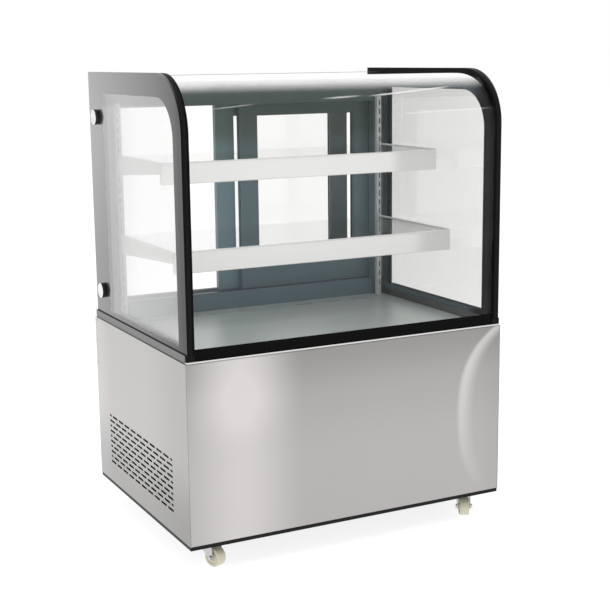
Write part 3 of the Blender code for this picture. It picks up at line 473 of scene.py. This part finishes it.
# ------------------------------------------------------------ modelling helpers
def putOut(shape, name, material, body, replaced=(), smoothUnder=30, more=()):
    mesh = bpy.data.meshes.new(name)
    shape.to_mesh(mesh)
    shape.free()
    piece = bpy.data.objects.new(name, mesh)
    bpy.context.scene.collection.objects.link(piece)
    for used in (material, *more):
        mesh.materials.append(finish[used])
    mesh.shade_smooth()
    mesh.set_sharp_from_angle(angle=math.radians(smoothUnder))
    flat = piece.modifiers.new("flat faces", "WEIGHTED_NORMAL")
    flat.keep_sharp = True
    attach(piece, body)
    if replaced:
        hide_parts(*replaced)
    return piece


def bodyOf(node):
    return nodes[node]["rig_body"]


def softenEdges(shape, width, segments=2, angle=30):
    sharp = [
        edge for edge in shape.edges
        if edge.is_manifold and edge.calc_face_angle(0.0) > math.radians(angle)
    ]
    bmesh.ops.bevel(
        shape, geom=sharp, offset=width, offset_type="OFFSET", segments=segments, profile=0.5,
        affect="EDGES", clamp_overlap=True, material=-1)


def mergedCopy(node):
    shape = bmesh.new()
    shape.from_mesh(nodes[node].data)
    for layer in list(shape.loops.layers.uv):
        shape.loops.layers.uv.remove(layer)
    bmesh.ops.remove_doubles(shape, verts=shape.verts, dist=0.00001)
    bmesh.ops.dissolve_limit(
        shape, angle_limit=math.radians(0.5), verts=shape.verts, edges=shape.edges)
    for face in shape.faces:
        face.material_index = 0
    return shape


def softCopy(node, name, material, width=0.0005, segments=2, before=None, angle=30):
    shape = mergedCopy(node)
    if before:
        before(shape)
    if width:
        softenEdges(shape, width, segments, angle)
    return putOut(shape, name, material, bodyOf(node), (node,), 40)


def block(low, high, width=0.0005, segments=2):
    size = Vector(high) - Vector(low)
    middle = (Vector(high) + Vector(low)) / 2
    shape = bmesh.new()
    bmesh.ops.create_cube(
        shape, size=1.0, matrix=Matrix.Translation(middle) @ Matrix.Diagonal((*size, 1.0)))
    if width:
        softenEdges(shape, width, segments)
    return shape


def mirrorBox(low, high, sign):
    if sign > 0:
        return low, high
    return (-high[0], *low[1:]), (-low[0], *high[1:])


# a profile of (radius, height) points turned round the local Z axis
def turnedShape(profile, steps, closed=False):
    shape = bmesh.new()
    points = [shape.verts.new((radius, 0.0, height)) for radius, height in profile]
    ends = points[1:] + points[:1] if closed else points[1:]
    for first, second in zip(points, ends):
        shape.edges.new((first, second))
    bmesh.ops.spin(
        shape, geom=shape.verts[:] + shape.edges[:], cent=(0, 0, 0), axis=(0, 0, 1),
        angle=2 * math.pi, steps=steps, use_merge=True)
    bmesh.ops.remove_doubles(shape, verts=shape.verts, dist=0.000005)
    bmesh.ops.recalc_face_normals(shape, faces=shape.faces)
    return shape


def turnedTo(shape, place, direction):
    turn = Vector((0, 0, 1)).rotation_difference(Vector(direction)).to_matrix().to_4x4()
    bmesh.ops.transform(shape, matrix=Matrix.Translation(Vector(place)) @ turn, verts=shape.verts)
    return shape


def addShape(target, other):  # puts one bmesh into another
    mesh = bpy.data.meshes.new("spare")
    other.to_mesh(mesh)
    other.free()
    target.from_mesh(mesh)
    bpy.data.meshes.remove(mesh)
    return target


def roundSlots(longest, depth, axis, radius, segments=4):
    # rounds the ends of punched slots: the short edges through the sheet are bevelled
    def work(shape):
        found = []
        for edge in shape.edges:
            along = edge.verts[1].co - edge.verts[0].co
            if abs(abs(along["XYZ".index(axis)]) - depth) < 0.00005 and along.length < depth * 1.1:
                middle = (edge.verts[0].co + edge.verts[1].co) / 2
                if longest(middle):
                    found.append(edge)
        bmesh.ops.bevel(
            shape, geom=found, offset=radius, offset_type="OFFSET", segments=segments, profile=0.5,
            affect="EDGES", clamp_overlap=True, material=-1)
    return work


# ------------------------------------------------------------ steel cabinet
def makeCabinet():
    size = {"edge": 0.0006, "sheet": 0.0012, "slotRound": 0.0027}
    softCopy("front_panel", "frontPanel", "frontSteel", size["edge"], 3)
    softCopy("base_tray", "baseTray", "blackEnamel", 0.0008, 2)

    def insidePanel(middle):
        return 0.125 < middle.z < 0.280

    for side in sides:
        softCopy(
            side + "_side_panel", side + "SidePanel", "sideSteel", 0.0, 2,
            roundSlots(insidePanel, size["sheet"], "X", size["slotRound"]))

    low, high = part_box("rear_panel")

    def notCorner(middle):
        return middle.z > low.z + 0.01 and middle.z < high.z - 0.01

    softCopy(
        "rear_panel", "rearPanel", "rearSteel", 0.0, 2,
        roundSlots(notCorner, size["sheet"], "Y", 0.0030))
    for name, finishName in (
        ("left_trim_rail", "railMetal"), ("right_trim_rail", "railMetal"), ("front_trim_rail", "brightRail"),
    ):
        words = name.split("_")
        newName = words[0] + "".join(word.capitalize() for word in words[1:])
        softCopy(name, newName, finishName, 0.0007, 2)


def makeSeals():
    size = {"proud": 0.0016, "height": 0.0022}
    for side, sign in sides.items():
        paneLow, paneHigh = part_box(side + "_outer_pane")
        railLow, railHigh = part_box(side + "_trim_rail")
        outer = max(abs(paneLow.x), abs(paneHigh.x))
        low, high = mirrorBox(
            (outer + 0.0001, railLow.y, railHigh.z + 0.00005),
            (outer + size["proud"], paneHigh.y, railHigh.z + size["height"]), sign)
        putOut(block(low, high, 0.0005), side + "GlassGasket", "blackSeal", "root")
        inner = min(abs(railLow.x), abs(railHigh.x))
        railOuter = max(abs(railLow.x), abs(railHigh.x))
        low, high = mirrorBox(
            (inner + 0.0002, paneLow.y, 0.5325), (railOuter, railLow.y - 0.0002, paneLow.z - 0.0002), sign)
        putOut(block(low, high, 0.0008, 3), side + "CornerBlock", "blackSeal", "root")


def makeScrews():
    size = {"radius": 0.0036, "height": 0.0013, "recess": 0.0016, "steps": 20}
    places = ((0.2466, 0.5200), (0.3156, 0.5200), (0.3275, 0.4593), (0.3261, 0.3968))
    r, h, rc = size["radius"], size["height"], size["recess"]
    for side, sign in sides.items():
        shape = bmesh.new()
        for y, z in places:
            head = turnedShape(
                [(0.0, h * 0.35), (rc * 0.8, h * 0.35), (rc, h * 0.97), (r * 0.62, h * 0.94), (r * 0.88, h * 0.62),
                 (r, h * 0.2), (r, 0.0), (0.0, 0.0)], size["steps"])
            addShape(shape, turnedTo(head, (sign * 0.45002, y, z), (sign, 0, 0)))
        putOut(shape, side + "PanelScrews", "zinc", "root", smoothUnder=35)
    low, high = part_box("rear_panel")
    shape = bmesh.new()
    for x in (low.x + 0.012, -0.21, 0.21, high.x - 0.012):
        for z in (low.z + 0.012, high.z - 0.012):
            head = turnedShape(
                [(0.0, h * 0.35), (rc * 0.8, h * 0.35), (rc, h * 0.97), (r * 0.62, h * 0.94), (r * 0.88, h * 0.62),
                 (r, h * 0.2), (r, 0.0), (0.0, 0.0)], size["steps"])
            addShape(shape, turnedTo(head, (x, high.y + 0.00002, z), (0, 1, 0)))
    putOut(shape, "rearPanelScrews", "zinc", "root", smoothUnder=35)


# ------------------------------------------------------------ glass
def makeEndGlass():
    for side in sides:
        softCopy(side + "_outer_pane", side + "OuterPane", "endGlass", 0.0006, 2)
        softCopy(side + "_inner_pane", side + "InnerPane", "endGlassInner", 0.0006, 2)
        softCopy(side + "_glass_spacer", side + "GlassSpacer", "blackSeal", 0.0)


def makeBentGlass():
    size = {"thickness": 0.006, "radius": 0.135, "steps": 56, "edge": 0.0009}
    low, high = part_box("front_bent_glass")
    shape = bmesh.new()
    bottom = shape.verts.new((low.x, low.y, low.z))
    shoulder = shape.verts.new((low.x, low.y, high.z - size["radius"]))
    shape.edges.new((bottom, shoulder))
    centre = (low.x, low.y + size["radius"], high.z - size["radius"])
    turned = bmesh.ops.spin(
        shape, geom=[shoulder], cent=centre, axis=(1, 0, 0), angle=-math.pi / 2, steps=size["steps"])
    last = [item for item in turned["geom_last"] if isinstance(item, bmesh.types.BMVert)][0]
    rear = shape.verts.new((low.x, high.y, high.z))
    shape.edges.new((last, rear))
    bmesh.ops.remove_doubles(shape, verts=shape.verts, dist=0.00001)
    made = bmesh.ops.extrude_edge_only(shape, edges=shape.edges[:])
    moved = [item for item in made["geom"] if isinstance(item, bmesh.types.BMVert)]
    bmesh.ops.translate(shape, vec=(high.x - low.x, 0, 0), verts=moved)
    bmesh.ops.recalc_face_normals(shape, faces=shape.faces)
    middle = Vector((0, 0, 0.8))
    face = shape.faces[0]
    if face.normal.dot(face.calc_center_median() - middle) < 0:
        bmesh.ops.reverse_faces(shape, faces=shape.faces)
    bmesh.ops.solidify(shape, geom=shape.faces[:], thickness=size["thickness"])
    bmesh.ops.recalc_face_normals(shape, faces=shape.faces)
    softenEdges(shape, size["edge"], 2, 50)
    putOut(shape, "bentFrontGlass", "bentGlass", "root", ("front_bent_glass",), 30)


# ------------------------------------------------------------ rear frame, shelves and lights
# a frame member: black outside, with painted light on the faces that look into the case: a lighter teal for how they
# look through the glass
def frameCopy(node, name, inner="innerFrame", width=0.0010):
    shape = mergedCopy(node)
    softenEdges(shape, width, 2)
    for face in shape.faces:
        normal = face.normal
        outward = normal.y > 0.5 or normal.z > 0.5 or normal.x * face.calc_center_median().x > 0.2
        face.material_index = 0 if outward else 1
    putOut(shape, name, "blackFrame", bodyOf(node), (node,), 40, (inner,))


def makeRearFrame():
    frameCopy("rear_header", "rearHeader")
    frameCopy("rear_sill", "rearSill")
    for side in sides:
        frameCopy(side + "_rear_post", side + "RearPost")
        softCopy(
            side + "_shelf_standard", side + "ShelfStandard", "standardPaint", 0.0003, 1)
    softCopy("deck_plate", "deckPlate", "deckSteel", 0.0)
    softCopy("insulated_tub", "insulatedTub", "whiteLiner", 0.003, 3)


def makeLightBars():
    size = {"frame": 0.0030, "recess": 0.0008, "edge": 0.0008}
    for level in ("upper", "lower"):
        low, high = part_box(level + "_light_bar")
        shape = block(low, high, 0.0)
        front = [face for face in shape.faces if face.normal.y < -0.9]
        made = bmesh.ops.inset_region(shape, faces=front, thickness=size["frame"], depth=0.0)
        made = bmesh.ops.inset_region(shape, faces=front, thickness=0.0004, depth=-size["recess"])
        softenEdges(shape, 0.0003, 2, 50)
        for face in shape.faces:
            inside = abs(face.calc_center_median().y - low.y - size["recess"]) < 0.0001
            face.material_index = 1 if inside and face.normal.y < -0.9 else 0
        putOut(shape, level + "LightBar", "barHousing", "root",
               (level + "_light_bar",), 40, (level + "Lamp",))
        softCopy(level + "_shelf_glass", level + "ShelfGlass", "shelfGlass", 0.0008, 2)
        for side in sides:
            softCopy(level + "_" + side + "_bracket", level + side.capitalize() + "Bracket",
                     "whiteBracket", 0.0004, 2)
    shape = mergedCopy("canopy_light")
    softenEdges(shape, size["edge"], 2)
    for face in shape.faces:
        face.material_index = 1 if face.normal.z < -0.99 else 0
    putOut(shape, "canopyLight", "blackFrame", "root", ("canopy_light",), 40, ("canopyLamp",))


def makeKnobs():
    size = {"radius": 0.0205, "height": 0.012, "shank": 0.0050, "steps": 72}
    r, h, shank = size["radius"], size["height"], size["shank"]
    for side, sign in sides.items():
        for level in ("upper", "lower"):
            node = side + "_clamp_knob_" + level
            low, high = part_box(node)
            middle = (low + high) / 2
            outer = high.x if sign > 0 else low.x
            face = outer - sign * h
            inner = abs((low.x if sign > 0 else high.x) - face)
            profile = [
                (0.0, h - 0.0009), (r * 0.30, h - 0.0006), (r * 0.60, h - 0.0001), (r * 0.70, h),
                (r * 0.76, h - 0.0003), (r * 0.80, h - 0.0007), (r * 0.84, h - 0.0004), (r * 0.92, h - 0.0002),
                (r * 0.96, h - 0.0005), (r * 0.988, h - 0.0013), (r, h - 0.0026), (r, 0.0022), (r * 0.985, 0.0012),
                (r * 0.93, 0.0006), (r * 0.93, 0.0003), (shank, 0.0003), (shank, -inner), (0.0, -inner),
            ]
            shape = turnedTo(turnedShape(profile, size["steps"]), (face, middle.y, middle.z), (sign, 0, 0))
            # painted reflection: the side of the knob takes the dark copy of the chrome
            for part in shape.faces:
                sideOn = abs(part.normal.x) < 0.5
                part.material_index = 1 if sideOn else 0
            putOut(shape, side + "ClampKnob" + level.capitalize(), "chrome", "root", (node,), 40,
                   ("paintedDarkChrome",))


# ------------------------------------------------------------ doors
def windowRing(low, high, width, depth):  # a flat frame round a window, its front face from low to high
    shape = bmesh.new()
    middle = (Vector(low) + Vector(high)) / 2
    upright = Matrix.Translation((middle.x, low[1], middle.z)) @ Matrix.Rotation(math.pi / 2, 4, "X")
    bmesh.ops.create_grid(shape, x_segments=1, y_segments=1, size=0.5, matrix=Matrix.Identity(4))
    bmesh.ops.scale(shape, vec=(high[0] - low[0], high[2] - low[2], 1.0), verts=shape.verts)
    inner = shape.faces[:]
    bmesh.ops.inset_region(shape, faces=inner, thickness=width, use_boundary=True, use_even_offset=True)
    bmesh.ops.delete(shape, geom=inner, context="FACES")
    made = bmesh.ops.extrude_face_region(shape, geom=shape.faces[:])
    moved = [item for item in made["geom"] if isinstance(item, bmesh.types.BMVert)]
    bmesh.ops.translate(shape, vec=(0, 0, -depth), verts=moved)
    bmesh.ops.transform(shape, matrix=upright, verts=shape.verts)
    bmesh.ops.recalc_face_normals(shape, faces=shape.faces)
    softenEdges(shape, 0.0004, 2, 50)
    return shape


def makeDoors():
    size = {"bead": 0.0035, "beadDepth": 0.0030, "gap": 0.0001}
    for side in sides:
        # painted light: the left door's frame lies in shade behind the other door's glass and takes the lighter copy
        inner = "paintedLitFrame" if side == "left" else "innerFrame"
        frameCopy(side + "_door_frame", side + "DoorFrame", inner, 0.0009)
        softCopy(side + "_door_glass", side + "DoorGlass", "doorGlass", 0.0)
        low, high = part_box(side + "_door_glass")
        shape = bmesh.new()
        for y in (low.y - size["gap"] - size["beadDepth"], high.y + size["gap"]):
            ring = windowRing((low.x, y, low.z), (high.x, y, high.z), size["bead"], size["beadDepth"])
            addShape(shape, ring)
        for face in shape.faces:
            face.material_index = 0 if face.calc_center_median().y > low.y else 1
        putOut(shape, side + "DoorBead", "blackSeal", side + "_door", more=(inner,))


# ------------------------------------------------------------ casters
def makeCasters():
    size = {"radius": 0.0250, "half": 0.0130, "hub": 0.0150, "bore": 0.0031, "steps": 72}
    r, w, hub, bore = size["radius"], size["half"], size["hub"], size["bore"]
    halfProfile = [
        (bore, hub), (0.0074, hub), (0.0080, hub - 0.0006), (0.0084, w - 0.0026), (0.0092, w - 0.0032),
        (0.0168, w - 0.0032), (0.0178, w - 0.0026), (0.0188, w - 0.0004), (0.0198, w), (r - 0.0026, w),
        (r - 0.0013, w - 0.0005), (r - 0.0004, w - 0.0018), (r, w - 0.0040), (r, w - 0.0100),
    ]
    profile = halfProfile + [(radius, -height) for radius, height in reversed(halfProfile)]
    for corner in corners:
        words = corner.split("_")
        start = words[0] + words[1].capitalize()
        softCopy(corner + "_caster_plate", start + "CasterPlate", "zinc", 0.0004, 2)
        softCopy(corner + "_fork", start + "Fork", "zinc", 0.0004, 2)
        joint = joints[corner + "_wheel_spin"]
        shape = turnedTo(turnedShape(profile, size["steps"], True), joint["pos_m"], joint["axis"])
        putOut(shape, start + "Wheel", "creamNylon", corner + "_wheel", (corner + "_wheel",), 35)


# ------------------------------------------------------------ machine compartment and controls
def pipe(name, points, radius, material):
    curve = bpy.data.curves.new(name, "CURVE")
    curve.dimensions = "3D"
    curve.bevel_depth = radius
    curve.bevel_resolution = 4
    curve.resolution_u = 10
    curve.use_fill_caps = True
    spline = curve.splines.new("NURBS")
    spline.points.add(len(points) - 1)
    for point, place in zip(spline.points, points):
        point.co = (*place, 1.0)
    spline.order_u = 4
    spline.use_endpoint_u = True
    piece = bpy.data.objects.new(name, curve)
    bpy.context.scene.collection.objects.link(piece)
    curve.materials.append(finish[material])
    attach(piece, "root")
    return piece


def makeMachine():
    low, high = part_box("compressor")
    softCopy("compressor", "compressorShell", "compressorEnamel", 0.0012, 2, angle=50)
    softCopy("condenser", "condenserCoil", "finMetal", 0.0)
    softCopy("condenser_fan", "condenserFan", "blackPlastic", 0.0004, 1)
    softCopy("evaporator_coil", "evaporatorCoil", "finMetal", 0.0)
    pipe("dischargePipe", [
        (0.150, 0.120, 0.225), (0.150, 0.120, 0.290), (0.120, 0.170, 0.315), (-0.050, 0.180, 0.315),
        (-0.260, 0.165, 0.315), (-0.330, 0.150, 0.315), (-0.335, 0.150, 0.290), (-0.335, 0.143, 0.270)],
        0.0040, "copper")
    pipe("suctionPipe", [
        (0.070, 0.060, 0.240), (0.070, 0.060, 0.300), (0.060, 0.000, 0.335), (0.180, -0.080, 0.340),
        (0.250, -0.050, 0.345), (0.250, 0.000, 0.352), (0.250, 0.020, 0.3585)], 0.0050, "copper")


def makeControls():
    softCopy("thermostat", "thermostatCase", "blackPlastic", 0.0006, 2)
    low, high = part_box("thermostat")
    middle = (low + high) / 2
    putOut(
        block((low.x + 0.008, high.y - 0.0004, middle.z - 0.0095), (middle.x + 0.008, high.y + 0.0003, middle.z + 0.0095),
              0.0002), "thermostatDisplay", "displayGlass", "root")
    shape = bmesh.new()
    for i in range(4):
        button = turnedShape([(0.0, 0.0011), (0.0026, 0.0010), (0.0031, 0.0004), (0.0031, -0.0004), (0.0, -0.0004)], 28)
        place = (middle.x + 0.0145 + 0.0085 * (i % 2), high.y, middle.z + 0.0045 - 0.0090 * (i // 2))
        addShape(shape, turnedTo(button, place, (0, 1, 0)))
    putOut(shape, "thermostatButtons", "barHousing", "root", smoothUnder=35)
    panelLow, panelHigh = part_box("rear_panel")
    for use in ("light", "power"):
        softCopy(use + "_switch", use + "Switch", "greenRocker", 0.0005, 3)
        joint = joints[use + "_switch_rock"]
        x, y, z = joint["pos_m"]
        ring = windowRing((x - 0.0098, panelHigh.y + 0.0001, z - 0.0145),
                          (x + 0.0098, panelHigh.y + 0.0001, z + 0.0145), 0.0024, 0.0013)
        putOut(ring, use + "SwitchBezel", "blackPlastic", "root")
    softCopy("cord_gland", "cordGland", "blackPlastic", 0.0004, 2)


makeCabinet()
makeSeals()
makeScrews()
print("cabinet made")
makeEndGlass()
makeBentGlass()
print("glass made")
makeRearFrame()
makeLightBars()
makeKnobs()
makeDoors()
print("frame, shelves and doors made")
makeCasters()
makeMachine()
makeControls()
print("casters, machine and controls made")


# ------------------------------------------------------------ studio
def makeCamera():
    look = {
        "place": (-1.5285, -3.0473, 1.2331),
        "yaw": 27.214,  # degrees from +Y towards +X
        "pitch": 10.998,  # degrees down
        "roll": -0.651,
        "lens": 75.32,
        "sensor": 36.0,
    }
    yaw, pitch, roll = (math.radians(look[name]) for name in ("yaw", "pitch", "roll"))
    forward = Vector((math.sin(yaw) * math.cos(pitch), math.cos(yaw) * math.cos(pitch), -math.sin(pitch)))
    right = Vector((math.cos(yaw), -math.sin(yaw), 0.0))
    up = right.cross(forward)
    turnedRight = right * math.cos(roll) + up * math.sin(roll)
    turnedUp = up * math.cos(roll) - right * math.sin(roll)
    data = bpy.data.cameras.new("camera")
    data.lens = look["lens"]
    data.sensor_width = look["sensor"]
    camera = bpy.data.objects.new("camera", data)
    bpy.context.scene.collection.objects.link(camera)
    turn = Matrix((turnedRight, turnedUp, -forward)).transposed().to_4x4()
    camera.matrix_world = Matrix.Translation(look["place"]) @ turn
    bpy.context.scene.camera = camera


def areaLight(name, place, target, size, sizeY, power, tone=(1.0, 1.0, 1.0)):
    data = bpy.data.lights.new(name, "AREA")
    data.shape = "RECTANGLE"
    data.size = size
    data.size_y = sizeY
    data.energy = power
    data.color = tone
    light = bpy.data.objects.new(name, data)
    bpy.context.scene.collection.objects.link(light)
    aim = Vector(target) - Vector(place)
    light.matrix_world = Matrix.Translation(place) @ aim.to_track_quat("-Z", "Y").to_matrix().to_4x4()
    light.visible_camera = False
    light.visible_glossy = False  # soft light only, with no lamp mirrored in the glass
    return light


def makeStudio():
    look = {
        "floor": 30.0,
        "floorTone": 0.35,
        "floorGlow": 0.85,  # a lit sweep, so that shadows on it stay faint
        "sky": 0.74,
        "backdrop": 1.0,
    }
    shape = bmesh.new()
    bmesh.ops.create_grid(shape, x_segments=1, y_segments=1, size=look["floor"])
    mesh = bpy.data.meshes.new("floor")
    shape.to_mesh(mesh)
    shape.free()
    floor = bpy.data.objects.new("floor", mesh)
    bpy.context.scene.collection.objects.link(floor)
    material, kit = newMaterial("paleFloor")
    tone = look["floorTone"]
    shader = kit.node("BsdfPrincipled", {}, {
        "Base Color": colour(tone, tone, tone), "Roughness": 0.9, "Specular IOR Level": 0.0,
        "Emission Color": colour(1.0, 1.0, 1.0), "Emission Strength": look["floorGlow"]})
    closeMaterial(kit, shader)
    mesh.materials.append(material)

    world = bpy.data.worlds.new("studio")
    world.use_nodes = True
    world.node_tree.nodes.clear()
    kit = Wire(world.node_tree)
    seen = kit.node("LightPath", output="Is Camera Ray")
    mirrored = kit.node("LightPath", output="Is Glossy Ray")
    light = look["sky"] + seen.math("MAXIMUM", seen, mirrored) * (look["backdrop"] - look["sky"])
    background = kit.node("Background", {}, {"Color": colour(1.0, 1.0, 1.0), "Strength": light})
    out = world.node_tree.nodes.new("ShaderNodeOutputWorld")
    world.node_tree.links.new(background.socket, out.inputs["Surface"])
    bpy.context.scene.world = world
    areaLight("overheadSoftbox", (0.2, -0.6, 3.4), (0.0, 0.0, 0.6), 3.0, 2.2, 36.0)
    areaLight("leftSoftbox", (-3.0, -0.4, 1.6), (0.0, 0.0, 0.6), 1.6, 1.8, 16.0)
    bpy.context.scene.view_settings.view_transform = "Standard"


makeCamera()
makeStudio()
print("camera and studio made")
